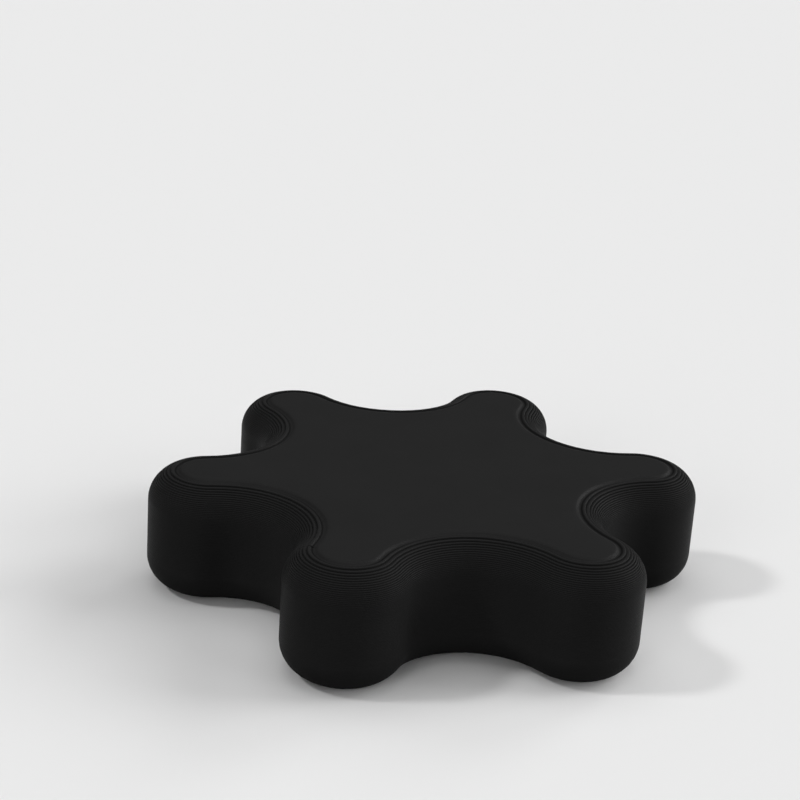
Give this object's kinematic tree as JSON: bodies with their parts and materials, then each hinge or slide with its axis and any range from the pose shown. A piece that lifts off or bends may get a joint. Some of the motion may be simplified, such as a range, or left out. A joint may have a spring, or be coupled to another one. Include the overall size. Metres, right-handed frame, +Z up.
{
  "type": "flower knob",
  "caption": "Flat-topped hand knob with round lobes, finger valleys and soft edges, turned on a stud by a captive nut in its underside.",
  "frame": {"origin": "centre of the underside, on the knob's axis", "axes": "+Z up the knob's axis, out of the flat top; +X through the tip of one lobe"},
  "size_m": [0.07, 0.0626, 0.0152],
  "materials": {
    "black_plastic": "matte black printed plastic with fine layer lines on the rounded edges"
  },
  "bodies": {
    "root": {"knob": "black_plastic"}
  },
  "joints": []
}
